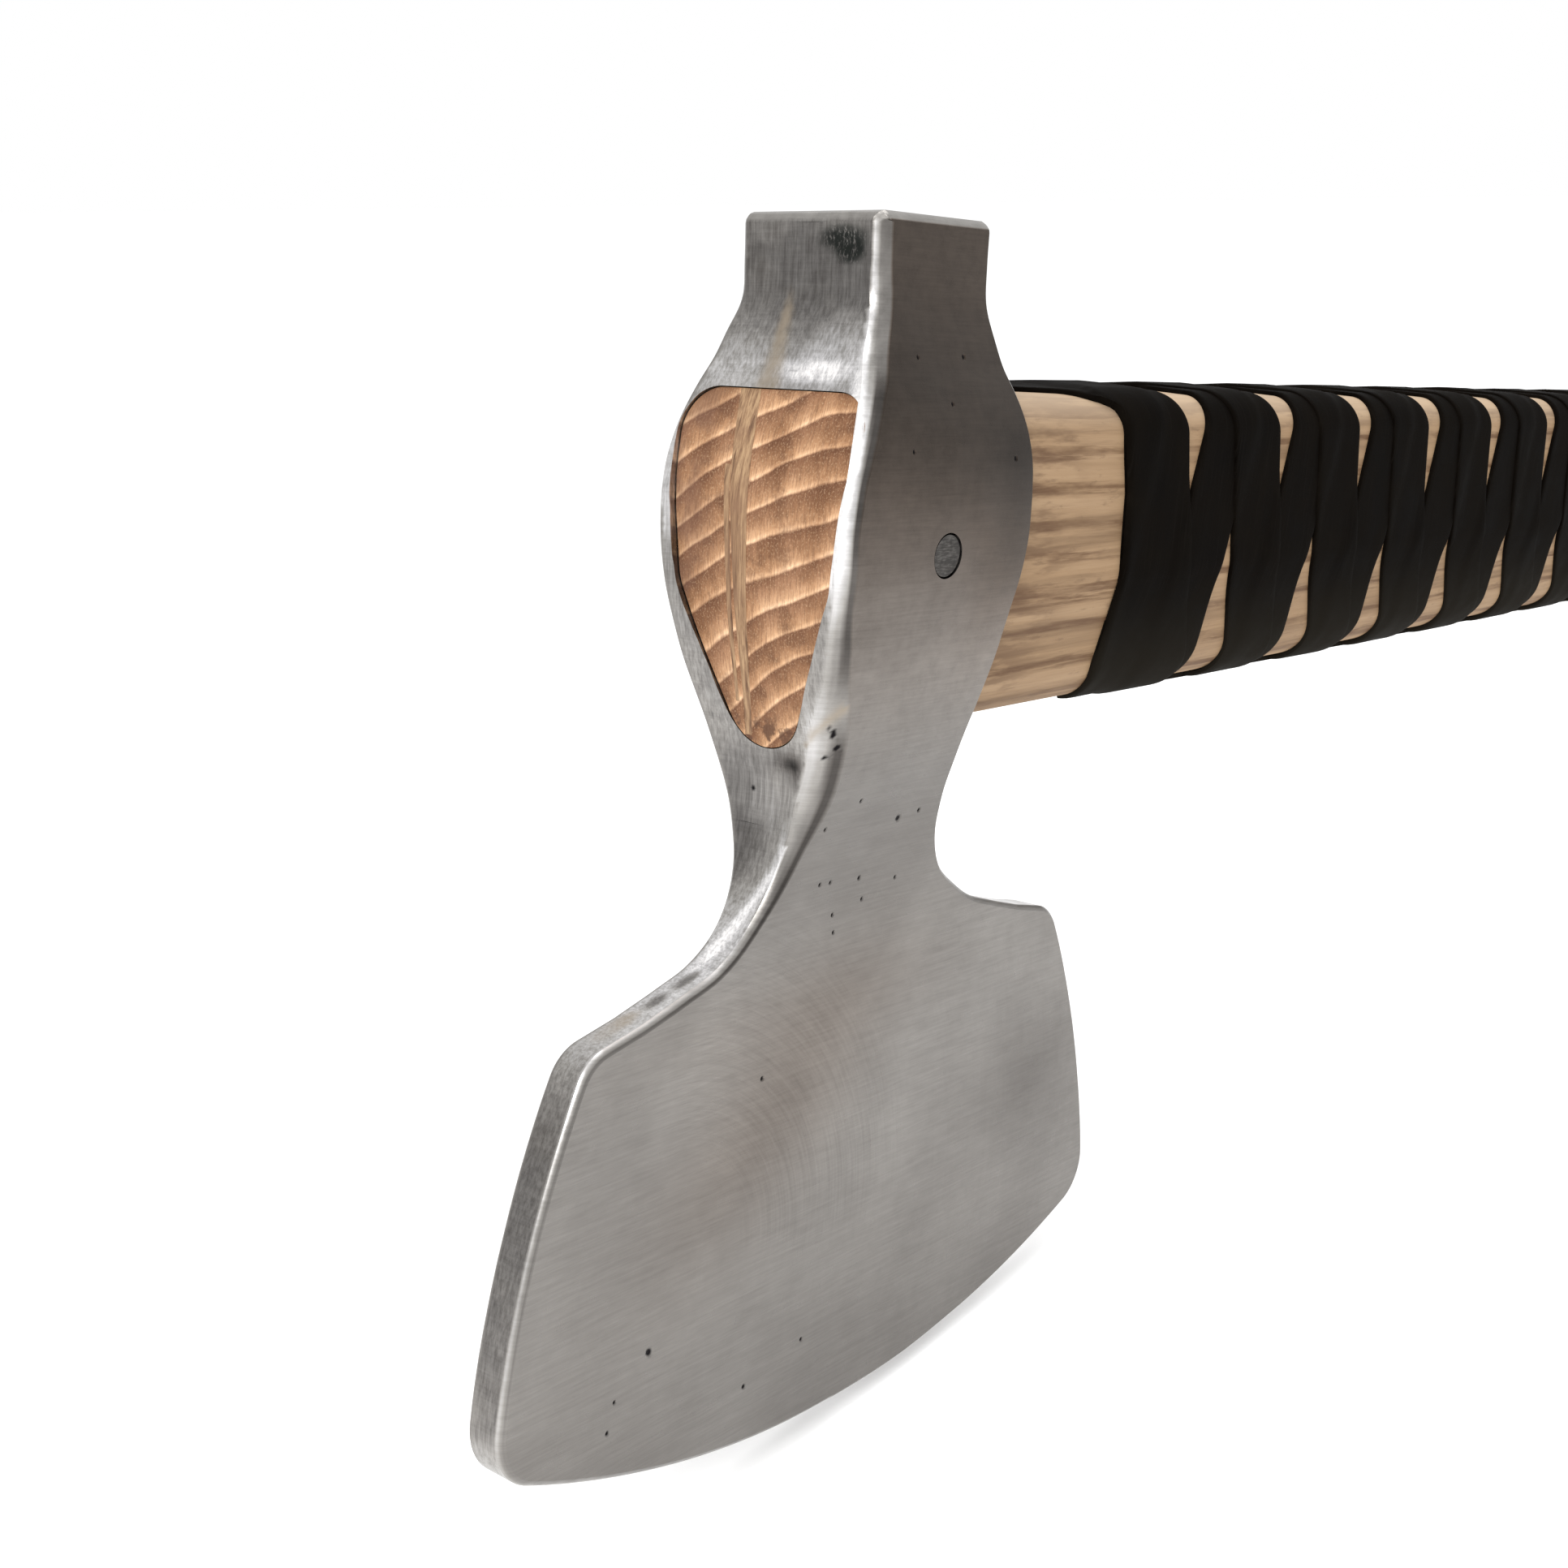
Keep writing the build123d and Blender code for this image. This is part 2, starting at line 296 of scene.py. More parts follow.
def cheek_y(x, z, sign=-1):
    """Half thickness of the head at a point of its cheek."""
    belly = smooth(z, -30, -5) * (1 - smooth(z, 20, 31))
    w = thick(z) + 0.35 * belly * (1 - np.clip(x / 17.0, -1, 1) ** 2)
    wave = 0.12 * noise2(x + 90, z + 150, 3, 13.0) + 0.02 * noise2(x + 90, z + 150, 4, 5.0)
    w = w + wave * (0.35 + 0.65 * smooth(z, -55, -30)) * (1 - 0.5 * smooth(z, 30, 36))
    return w - (PIT_DEEP * pit_depth(x, z) if sign < 0 else 0)


def bevel(p, sign):
    """Width of the bevel at points of the outline."""
    x, z = p[:, 0], p[:, 1]
    c = np.where(x < 0, near_toe(z), other(z)) if sign < 0 else other(z)
    c = c * (1 + 0.04 * noise1(z + 200, 5, 4.0) * smooth(z, -46, -30))
    flat_top = smooth(z, 40.0, 41.0)
    return c * (1 - flat_top) + 1.05 * flat_top


BEND = np.linspace(0, 1, 8)


def bevel_rows(sign):
    """Rows from the rim over the bevel to the cheek on one side."""
    c = bevel(ring, sign)
    inner = ring - normal * c[:, None]
    w_in = cheek_y(inner[:, 0], inner[:, 1], 0)
    rows = []
    for t in BEND:
        u = 2 * t * (1 - t) * 0.34 + t * t
        v = (1 - t) ** 2 + 2 * t * (1 - t) * 0.38
        p = ring - normal * (c * u)[:, None]
        rows.append(np.stack([p[:, 0], sign * (w_in - c * v), p[:, 1]], 1))
    return rows


near_rows, far_rows = bevel_rows(-1), bevel_rows(1)

EYE = [(-8.8, 15.9, 4.8), (8.8, 15.9, 4.8), (-4.8, 0, 7.0), (4.8, 0, 7.0), (0, -15.6, 5.6)]
HAFT = [(-9.1, 16.0, 4.9), (9.1, 16.0, 4.9), (0, 8.4, 13.0), (-5.5, -1.5, 7.5), (5.5, -1.5, 7.5),
        (0, -12.1, 9.3)]


def section(circles, step=0.45, turn=None):
    """Convex outline round the circles, from the bottom centre over the -y side to the top and
    back: points (y, z) and outward normals, spaced by step or, with turn, no coarser than that
    angle in degrees."""
    phi = -math.pi / 2 - np.linspace(0, 2 * math.pi, 2881)
    n = np.stack([np.cos(phi), np.sin(phi)], 1)
    c = np.array(circles, float)
    best = np.argmax(n @ c[:, :2].T + c[:, 2], axis=1)
    p = c[best, :2] + n * c[best, 2:3]
    s = np.concatenate([[0], np.cumsum(np.linalg.norm(np.diff(p, axis=0), axis=1))])
    if turn:
        a = np.linspace(0, 360, len(s))
        cost = s / step + a / turn
        m = int(round(cost[-1]))
        u = np.interp(np.linspace(0, cost[-1], m + 1)[:-1], cost, s)
    else:
        m = int(round(s[-1] / step))
        u = np.linspace(0, s[-1], m + 1)[:-1]
    q = np.stack([np.interp(u, s, p[:, k]) for k in (0, 1)], 1)
    nn = np.stack([np.interp(u, s, n[:, k]) for k in (0, 1)], 1)
    return q, nn / np.linalg.norm(nn, axis=1)[:, None]


eye_loop, eye_n = section(EYE, 0.5)
toe_ids = [i for i in range(len(ring)) if ring[i, 0] < 0 and FACE_Z[0] < ring[i, 1] < FACE_Z[1]]
heel_ids = [i for i in range(len(ring)) if ring[i, 0] > 0 and FACE_Z[0] < ring[i, 1] < FACE_Z[1]]


def rim_row(i):
    """Points straight across the head from the near rim to the far rim."""
    t = np.linspace(0, 1, 13)[:, None]
    return near_rows[0][i] * (1 - t) + far_rows[0][i] * t


def along(ids, value):
    """Function of z through the values of some points of the outline."""
    z = ring[ids, 1]
    o = np.argsort(z)
    return lambda q: np.interp(q, z[o], np.asarray(value)[o])


toe_x, heel_x = along(toe_ids, ring[toe_ids, 0]), along(heel_ids, ring[heel_ids, 0])
toe_near = along(toe_ids, near_rows[0][toe_ids, 1])
toe_far = along(toe_ids, far_rows[0][toe_ids, 1])


def seam_y(z):
    """Course of the old weld run from the eye up to the poll."""
    return 2.0 + (z - 20.5) * 0.06


def toe_surface(y, z):
    """x of the toe face, with the forged unevenness and the weld run above the eye."""
    edge = smooth(y - toe_near(z), 0, 1.5) * smooth(toe_far(z) - y, 0, 1.5)
    wave = 0.10 * noise2(y + 40, z + 80, 11, 5.0) + 0.05 * noise2(y + 40, z + 80, 12, 1.8)
    run = 0.12 * np.exp(-((y - seam_y(z)) / 1.2) ** 2) * smooth(z, 20.0, 21.5) * (1 - smooth(z, 30, 34))
    dent = 0.35 * np.exp(-((y + 5.5) / 2.4) ** 2 - ((z - 37.2) / 1.6) ** 2)
    return toe_x(z) - edge * (wave + run - dent)


def mesh_grid(loop, gap, pad):
    """Inner points of a loop on a staggered grid that keeps pad from its edge."""
    loop = np.asarray(loop)
    lo, hi = loop.min(0), loop.max(0)
    xs, ys = np.arange(lo[0], hi[0], gap), np.arange(lo[1], hi[1], gap * 0.87)
    g = np.array([(x + (k % 2) * gap / 2, y) for k, y in enumerate(ys) for x in xs])
    return keep_off(g[inside(g, loop)], loop, pad)


def keep_off(g, loop, pad):
    """Points of g that are further than pad from the loop."""
    d = np.full(len(g), 1e9)
    for p in np.asarray(loop):
        d = np.minimum(d, (g[:, 0] - p[0]) ** 2 + (g[:, 1] - p[1]) ** 2)
    return g[d > pad * pad]


def clear_of(g, loop, pad):
    """Points of g outside the loop and further than pad from it."""
    return keep_off(g[~inside(g, loop)], loop, pad)


def face_loop(ids):
    """Closed border (y, z) of the toe or heel face."""
    near = [near_rows[0][i][1:] for i in ids]
    far = [far_rows[0][i][1:] for i in ids]
    first = [q[1:] for q in rim_row(ids[0])][1:-1]
    last = [q[1:] for q in rim_row(ids[-1])][1:-1]
    return np.array(near + last + far[::-1] + first[::-1])


def ring_of(cx, cz, r, n):
    """Circle of n points."""
    t = np.linspace(0, 2 * math.pi, n + 1)[:-1]
    return np.stack([cx + r * np.cos(t), cz + r * np.sin(t)], 1)


def head():
    """The steel head; the recesses round the pin and the wood have walls that end open inside it, and these
    walls are painted black as painted shade in the gaps.
    """
    b = Builder()
    gap_shade_walls = []
    hole = ring_of(PIN_X, PIN_Z, PIN_R + PIN_GAP, 48)
    for sign, rows in ((-1, near_rows), (1, far_rows)):
        b.grid([np.vstack([r, r[:1]]) for r in rows])
        loop = rows[-1][:, [0, 2]]
        inner = clear_of(mesh_grid(loop, 0.85, 0.55), hole, 0.5)
        if sign < 0:
            for px, pz, pr in PITS:
                inner = inner[np.hypot(inner[:, 0] - px, inner[:, 1] - pz) > pr * 1.5]
                rings = [ring_of(px, pz, pr * k, n) for k, n in ((1.2, 10), (0.75, 8), (0.35, 5))]
                inner = np.vstack([inner] + rings)
        b.fill([loop, hole], inner,
               lambda v: np.stack([v[:, 0], sign * cheek_y(v[:, 0], v[:, 1], sign), v[:, 1]], 1))
        y = sign * cheek_y(hole[:, 0], hole[:, 1], sign)
        # the wall of the pin recess is painted black further in, as painted shade in the gap
        gap_shade_walls += [np.stack([hole[:, 0], w, hole[:, 1]], 1) for w in (y - sign * 0.12, y * 0 + sign * 11.5)]
        b.grid([np.stack([hole[:, 0], y, hole[:, 1]], 1)] + gap_shade_walls[-2:], closed=True)
    skip = set(toe_ids) | set(heel_ids)
    for i in range(len(ring)):
        j = (i + 1) % len(ring)
        if not (i in skip and j in skip):
            b.grid([rim_row(i), rim_row(j)])
    lip = eye_loop + eye_n * EYE_GAP
    for ids, fx, s in ((toe_ids, toe_surface, 1), (heel_ids, lambda y, z: heel_x(z), -1)):
        loop = face_loop(ids)
        hole = lip[inside(lip, loop)] if s > 0 else lip
        inner = clear_of(mesh_grid(loop, 0.7, 0.4), hole, 0.4)
        b.fill([loop, hole], inner, lambda v: np.stack([fx(v[:, 0], v[:, 1]), v[:, 0], v[:, 1]], 1))
        outer = np.stack([fx(hole[:, 0], hole[:, 1]), hole[:, 0], hole[:, 1]], 1)
        tight = hole - (eye_n if len(hole) == len(eye_n) else 0) * EYE_GAP
        wall = np.stack([outer[:, 0] + s * 0.3, tight[:, 0], tight[:, 1]], 1)
        # the wall of the gap round the wood is painted black further in, as painted shade
        gap_shade_walls += [wall + [s * 0.5, 0, 0], wall + [s * 12.0, 0, 0]]
        b.grid([outer, wall] + gap_shade_walls[-2:], closed=True)
    obj = b.make("axe_head_steel", sharp=17)
    paint(obj, gap_shade_walls)
    return obj


def spot(y, z, y0, z0, ry, rz, power=4):
    """Soft patch: 1 inside the ellipse, fading to 0 outside."""
    return np.exp(-(((y - y0) / ry) ** 2 + ((z - z0) / rz) ** 2) ** (power / 2))


# brightness of the cheeks by height, partly the steel's own tone and partly painted reflection
CHEEK_TONE = table([(42, 0.058), (34, 0.054), (22, 0.044), (12, 0.046), (6, 0.070), (0, 0.092), (-5, 0.122),
                    (-11, 0.168), (-18, 0.180), (-30, 0.168), (-40, 0.174), (-50, 0.200), (-65, 0.203),
                    (-80, 0.203), (-104, 0.190), (-116, 0.165)])
# brightness of the toe face by height, with painted highlights where it turns upward above the eye and on the
# shoulder top
TOE_TONE = table([(42, 0.19), (36, 0.15), (31, 0.15), (27, 0.25), (24, 0.38), (20, 0.36), (10, 0.24),
                  (-3, 0.25), (-14, 0.25), (-19, 0.25), (-23, 0.20), (-28, 0.18), (-32, 0.22), (-38, 0.28),
                  (-44, 0.50), (-49, 0.54), (-53, 0.32), (-58, 0.19), (-68, 0.175), (-90, 0.17),
                  (-116, 0.17)])
# brightness of the painted highlight on the toe bevel, by height
BEVEL_HIGHLIGHT = table([(42, 0.40), (36, 0.50), (28, 0.56), (22, 0.85), (8, 0.95), (2, 0.88), (-3, 0.48),
                    (-12, 0.32), (-15, 0.42), (-20, 0.48), (-26, 0.36), (-31, 0.30), (-36, 0.20),
                    (-42, 0.30), (-47, 0.48), (-52, 0.50), (-60, 0.42), (-90, 0.38), (-116, 0.26)])
# how strongly the line of painted shade shows where the toe bevel meets the cheek, by height
BEVEL_SHADE_LINE = table([(42, 0.0), (27, 0.0), (21, 0.85), (0, 0.80), (-9, 0.65), (-15, 0.15), (-20, 0.80),
                   (-46, 0.90), (-56, 0.60), (-90, 0.50), (-104, 0.0), (-116, 0.0)])
# course (z, y) of the ridge on the toe face below the eye, painted on as a highlight with painted shade to
# both sides
RIDGE = [(-47, 0.8), (-44.1, 0.4), (-42.1, -0.2), (-38.1, -1.7), (-34.7, -3.2), (-32.3, -3.7), (-29, -4.6)]


def paint(obj, gap_shade_walls):
    """How bright the worn steel looks, patch by patch, and where it is marked; the brightness holds painted
    highlights, painted reflections and painted shade along with the steel's own tone.
    """
    x, y, z = coords(obj).T
    near = y < 0
    dots = pit_depth(x, z) * near
    depth = cheek_y(x, z, 0) - np.abs(y) - PIT_DEEP * dots * (np.abs(y) > thick(z) - 0.8)
    cut = np.where(near & (x < 0), near_toe(z), other(z))
    v = depth / cut
    band = smooth(depth, 0.01, 0.14)
    face = (depth > cut + 0.03) & (z < 39.9)
    # cheeks: tone by height, partly the steel's own and partly painted reflection; round the eye, painted
    # light towards the toe and painted shade towards the heel next to the haft
    tone = CHEEK_TONE(z) * (1 + 0.10 * smooth(x, -12, 12) * smooth(z, -30, -10))
    tone = tone * (1 + (0.20 - 0.44 * smooth(x, -8, 13)) * smooth(z, -8, 0) * (1 - smooth(z, 14, 22)))
    tone = tone - 0.012 * spot(x, z, 14, 8, 5, 11, 2)
    smear = spot(x - 0.8 * (z + 66), z, -14, -66, 15, 15, 2)
    tone = tone - 0.046 * smear - 0.026 * spot(x, z, -4, -53, 13, 4.5, 2)
    tone = tone - 0.060 * spot(x, z, 44, -78, 14, 9, 2) + 0.010 * spot(x, z, 16, -66, 12, 8, 2)
    # bevel of the toe side: a painted highlight, dimmer towards the cheek and ended by a line of painted
    # shade
    highlight_left = 0.66 - 0.30 * smooth(z, 16, 25)
    lit = BEVEL_HIGHLIGHT(z) * (highlight_left + (1 - highlight_left) * smooth(v, 0.50, 0.82))
    line = BEVEL_SHADE_LINE(z) * (1 - smooth(v, 0.26, 0.44))
    strip = lit * (1 - line) + (0.014 + 0.03 * smooth(z, -4, -20) + 0.05 * smooth(z, -46, -56)) * line
    strip = np.where(near, strip, 0.20 + 0.35 * smooth(z, 4, 9) * (1 - smooth(z, 15, 20)))
    strip = np.where(x > 0, 0.22, strip)
    # toe face: its tone with painted highlights and painted reflections on its facets, and painted shade
    # under the wood and beside the ridge
    toe = TOE_TONE(z)
    # painted highlight: the bevel's bright tone runs onto a sliver of the toe face
    highlight_sliver = smooth(toe_near(z) + 1.6 - y, 0, 0.8) * smooth(z, -5, 0) * (1 - smooth(z, 21, 25))
    toe = toe + (BEVEL_HIGHLIGHT(z) - toe) * highlight_sliver
    # painted highlights on the toe face round and above the eye
    toe = toe + 0.13 * spot(y, z, -6.5, 25.5, 4.2, 4.0) + 0.07 * spot(y, z, 9, 22, 4, 7, 2)
    toe = toe + 0.42 * spot(y, z, -4.0, 23.0, 5.5, 1.25) + 0.30 * spot(y, z, 13.6, 9, 1.6, 8)
    # below the eye: painted highlights on the bright facets, and painted shade just under the wood
    toe = toe + 0.24 * spot(y, z, -9.2, -19.2, 2.8, 4.2) + 0.26 * spot(y, z, -5.9, -26.5, 1.3, 5.0, 2)
    toe = toe - 0.19 * spot(y, z, -4.2, -22.7, 2.7, 1.2, 2) - 0.14 * spot(y, z, -4.8, -24.6, 1.1, 1.4, 2)
    toe = toe + 0.09 * spot(y, z, -1.0, -28.6, 4.2, 3.8, 4)
    # the ridge: a painted highlight along it and painted shade to its sides
    ridge = np.interp(z, *np.array(RIDGE).T)
    low = smooth(z, -28.5, -32) * (1 - smooth(z, -44.5, -47.5))
    toe = toe * (1 - 0.60 * low * smooth(ridge - y, 0.8, 1.4) * smooth(z, -41.5, -38.5))
    toe = toe * (1 - 0.35 * low * smooth(y - ridge, 3.0, 5.0))
    toe = toe + 0.55 * low * np.exp(-((y - ridge) / 0.85) ** 2)
    # two grey ovals on the shoulder top are painted reflections
    for ox, oy, ra, rb in ((-33.3, 0.2, 1.9, 0.9), (-28.3, 0.0, 2.3, 0.8)):
        toe = toe - 0.36 * spot(x, y, ox, oy, ra, rb) * (z < -45) * (z > -51)
    # painted highlight on the lowest part of the toe end of the blade
    toe = toe + 0.14 * smooth(z, -91, -96) * (z < -60)
    # heel side: its shoulder top is painted bright as a highlight where it faces up
    toe = np.where(x > 0, np.where(z < -42, 0.50, 0.16), toe)
    tone = tone + (strip - tone) * band
    tone = np.where(face, toe, tone)
    tone = np.where(z > 40.0, np.where(z > 40.95, 0.27, 0.28), tone)
    attribute(obj, "tone", np.clip(tone, 0.02, 0.97))
    # warm cast, then pits, cracks and the walls inside the gaps painted black as painted shade, then the
    # smudge and the weld
    warm = 0.9 * smooth(z, -8, 22) + 0.5 * spot(x, z, 12, 2, 8, 12, 2) + 0.40 * smooth(z, -28, -4)
    warm = warm + 0.42 * smear + 0.16 * spot(x, z, -10, -54, 25, 6, 2)
    attribute(obj, "warm", np.clip(warm, 0, 1) * (1 - band))
    crack = np.zeros(len(x))
    for py, pz, ry, rz in ((-9.3, -18.2, 0.28, 1.0), (-9.2, -20.2, 0.3, 0.5), (-8.1, -21.4, 0.3, 0.4),
                           (2.4, -26.5, 0.3, 0.35), (4.7, -31.7, 0.3, 0.35), (8.1, -18.5, 0.3, 0.4)):
        crack = np.maximum(crack, spot(y, z, py, pz, ry, rz, 2) * (x < -12.5))
    pit = np.maximum(dots * (depth < 0.4), crack)
    key = set(map(tuple, np.round(np.vstack(gap_shade_walls), 2)))
    in_gap_shade = np.array([tuple(p) in key for p in np.round(coords(obj), 2)])
    # the gap walls go into this attribute with the pits and cracks, painted near black as painted shade in
    # the gaps
    attribute(obj, "pit", np.maximum(pit, in_gap_shade * 1.0))
    mark = spot(y, z, -4.8, 37.9, 3.6, 1.5, 6) + spot(y, z, -5.8, 36.3, 2.2, 1.3, 6)
    toe_side = face & (x < 0)
    attribute(obj, "smudge", np.clip(mark, 0, 1) * toe_side)
    seam = np.exp(-((y - seam_y(z)) / (0.5 + 0.11 * (32 - z))) ** 4) * smooth(z, 19.5, 20.5)
    seam = seam * (1 - smooth(z, 29, 33)) * toe_side
    arc_run = np.exp(-((z + 15.3 + 0.98 * (y + 10.8)) / 0.55) ** 2) * (y > -11.2) * (y < -6.0) * (x < -13.6)
    beige = spot(x, y, -38.4, 0.6, 2.6, 1.2) * (z < -48) * (z > -54) * face
    attribute(obj, "weld", np.clip(seam + 0.8 * arc_run + beige, 0, 1))
    attribute(obj, "toe", toe_side.astype(float))


# ------------------------------------------------------------------ wrap
F0 = 57.5                # middle of the first open diamond on the top
TURN = 26.9              # advance of a strip in one turn
WIDE, THICK = 14.3, 0.65
RIDE = 0.35              # how much higher the second strip lies where it crosses the first
TURNS = range(-1, 25)
WRAP_END = 715.6
LAP = 130.0              # length of a turn as the noise counts it
NOISE_FROM = 4000        # keeps the noise coordinate positive
NARROWEST = 0.8          # a narrower remainder of the strip is left out
wrap_loop, wrap_n = section(HAFT, 2.2, 8.0)
wrap_u = np.linspace(0, 1, len(wrap_loop) + 1)


def strip_x(hand, y, z, k=0):
    """Centre line of a strip at a point of the section, for the turn nearest the head."""
    side_z = 5.2 - 7.0 * (1 - math.exp(-max(k, 0) / 2.8))
    sy = np.where(y < 0, -1, 1)
    sz = np.where(z > side_z, 1, -1)
    run = np.where(sz > 0, 21.2 - side_z, side_z + 21.4)
    up = np.abs(z - side_z) / run
    over = np.clip((14.2 - np.abs(y)) / 14.2, 0, 1)
    share = np.where(sz > 0, 0.60, 0.95)
    lean = -hand * sy * sz * TURN / 4
    side = F0 + TURN * np.where(hand * sy < 0, 0.25, 0.75)
    drop = (6.0 + 4.0 * (1 - math.exp(-max(k, 0) / 2.5))) * smooth(-z, 2.0, 20.5)
    return side + drop + lean * (share * up + (1 - share) * over)


# where the wrap starts: a point (y, z) of the section and the x there
START = [((1, -22), 48.0), ((-4.5, -20.6), 45.6), ((-9, -16), 42.8), ((-10.9, -10.4), 42.3),
         ((-13.6, 0.3), 41.2), ((-14, 9), 40.5),
         ((-14.1, 17.5), 38.2), ((-13.2, 19.6), 37.2), ((-11.8, 20.7), 32.8), ((-9.4, 21.3), 28.0),
         ((-6.0, 21.4), 18.6), ((4, 21.4), 18.2), ((14, 17), 19.0), ((13.6, 0), 20.0), ((9, -16), 31.0),
         ((5, -20), 42.0)]


def angle_round(p):
    """Angle of points (y, z) round the haft, from the bottom over the near side."""
    return (-math.pi / 2 - np.arctan2(p[..., 1], p[..., 0])) % (2 * math.pi)


def start_x(y, z):
    """Where the wrap begins round the haft."""
    a = np.array([p for p, _ in START], float)
    v = np.array([x for _, x in START])
    t, q = angle_round(a), angle_round(np.stack([y, z], -1))
    o = np.argsort(t)
    t, v = t[o], v[o]
    round_t = np.r_[t[-1] - 2 * math.pi, t, t[0] + 2 * math.pi]
    return np.interp(q, round_t, np.r_[v[-1], v, v[0]])


def wrap_strip(name, hand, seed):
    """One strip wound round the haft from the head to the butt; hand is its sense of winding."""
    y, z = wrap_loop[:, 0], wrap_loop[:, 1]
    begin = start_x(y, z)
    b = Builder()
    order = TURNS if hand > 0 else reversed(TURNS)
    rows = []
    v = np.array([-1, -1, -0.985, -0.95, -0.86, -0.72, -0.58, -0.43, -0.29, -0.14, 0, 0.14, 0.29, 0.43, 0.58,
                  0.72, 0.86, 0.95, 0.985, 1, 1])
    lift = np.array([-0.05, 0.55, 0.86, 0.98, 1.02] + [1.0] * 11 + [1.02, 0.98, 0.86, 0.55, -0.05])
    pieces = []
    for k in order:
        base, first = strip_x(hand, y, z, k), strip_x(1, y, z, k)
        for j in range(len(y)):
            xc = base[j] + k * TURN
            path = k * LAP + hand * j * LAP / len(y)
            xc = xc + 0.16 * noise1(path + NOISE_FROM, seed, 47.0)
            half = WIDE / 2 + 0.08 * noise1(path + NOISE_FROM, seed + 1, 39.0)
            lo, hi = max(xc - half, begin[j]), min(xc + half, WRAP_END)
            if hand < 0 and k == -1:
                lo = begin[j]
            if hi - lo < NARROWEST:
                if len(rows) > 1:
                    pieces.append(rows)
                rows = []
                continue
            mid, w = (lo + hi) / 2, (hi - lo) / 2
            x = mid + v * w
            up = lift * THICK
            if hand < 0:
                d = np.abs((x - first[j] + TURN / 2) % TURN - TURN / 2)
                over = 1 - smooth(d, WIDE / 2 - 1.2, WIDE / 2 + 2.2)
                over = over * smooth(x, begin[j] - 0.6, begin[j] + 0.6) * (x > first[j] - TURN - WIDE / 2)
                up = up + over * RIDE
            up = np.maximum(up + 0.03 * noise2(x + 50, path + NOISE_FROM, seed + 2, 9.0) * (lift > 0.9), 0.01)
            p = wrap_loop[j] + wrap_n[j] * up[:, None]
            rows.append(np.stack([x, p[:, 0], p[:, 1]], 1))
    pieces.append(rows)
    for rows in pieces:
        if len(rows) > 1:
            b.grid(rows)
            b.add(rows[0], [tuple(range(len(v)))])
            b.add(rows[-1], [tuple(range(len(v)))[::-1]])
    return b.make(name, sharp=40, weld=1e-5)


# ------------------------------------------------------------------ materials
class Nodes:
    """Short hand for building a node tree."""

    def __init__(self, name):
        self.mat = bpy.data.materials.new(name)
        self.mat.use_nodes = True
        self.t = self.mat.node_tree
        self.shader = self.t.nodes["Principled BSDF"]

    def add(self, kind, **props):
        """A new node with its properties set."""
        n = self.t.nodes.new(kind)
        for k, v in props.items():
            setattr(n, k, v)
        return n

    def link(self, a, b):
        self.t.links.new(a, b)

    def feed(self, node, values):
        """Link the sockets and set the plain numbers on a node's inputs."""
        for key, v in values.items():
            if isinstance(v, bpy.types.NodeSocket):
                self.link(v, node.inputs[key])
            else:
                node.inputs[key].default_value = v

    def place(self, scale=(1, 1, 1), loc=(0, 0, 0), rot=(0, 0, 0), src=None):
        """Position in millimetres, stretched."""
        m = self.add("ShaderNodeMapping")
        src = src or self.add("ShaderNodeTexCoord").outputs["Object"]
        self.link(src, m.inputs["Vector"])
        m.inputs["Scale"].default_value = [1000 * v for v in scale]
        m.inputs["Location"].default_value = loc
        m.inputs["Rotation"].default_value = rot
        return m.outputs["Vector"]

    def noise(self, vec, scale=1.0, detail=3.0, rough=0.5, distortion=0.0):
        n = self.add("ShaderNodeTexNoise")
        self.feed(n, {"Vector": vec, "Scale": scale, "Detail": detail, "Roughness": rough,
                      "Distortion": distortion})
        return n.outputs["Fac"]

    def math(self, op, a, b=0.0, c=0.0):
        n = self.add("ShaderNodeMath", operation=op)
        self.feed(n, {0: a, 1: b, 2: c})
        return n.outputs[0]

    def span(self, v, a, b, lo=0.0, hi=1.0):
        """Soft step from lo at a to hi at b."""
        n = self.add("ShaderNodeMapRange", interpolation_type="SMOOTHSTEP")
        self.feed(n, {"Value": v, "From Min": a, "From Max": b, "To Min": lo, "To Max": hi})
        return n.outputs["Result"]

    def ramp(self, fac, stops):
        """Colour from (position, colour) stops."""
        n = self.add("ShaderNodeValToRGB")
        e = n.color_ramp.elements
        while len(e) < len(stops):
            e.new(0.5)
        for el, (pos, col) in zip(e, stops):
            el.position = pos
            el.color = (*col, 1)
        self.link(fac, n.inputs["Fac"])
        return n.outputs["Color"]

    def mix(self, fac, a, b, kind="MIX"):
        n = self.add("ShaderNodeMix", data_type="RGBA", blend_type=kind)
        for key, v in ((0, fac), (6, a), (7, b)):
            if isinstance(v, bpy.types.NodeSocket):
                self.link(v, n.inputs[key])
            else:
                n.inputs[key].default_value = v if key == 0 else (*v, 1)
        return n.outputs[2]

    def attr(self, name):
        """A number stored per vertex."""
        return self.add("ShaderNodeAttribute", attribute_name=name).outputs["Fac"]

    def bump(self, height, strength, distance, prior=None):
        """Relief of distance mm, on top of a prior normal."""
        n = self.add("ShaderNodeBump")
        self.feed(n, {"Height": height, "Strength": strength, "Distance": distance * MM})
        if prior:
            self.link(prior, n.inputs["Normal"])
        return n.outputs["Normal"]

    def out(self, **values):
        """Feed the shader and hand over the material."""
        names = {"base": "Base Color", "rough": "Roughness", "metal": "Metallic", "normal": "Normal",
                 "spec": "Specular IOR Level"}
        self.feed(self.shader, {names[k]: v for k, v in values.items()})
        return self.mat


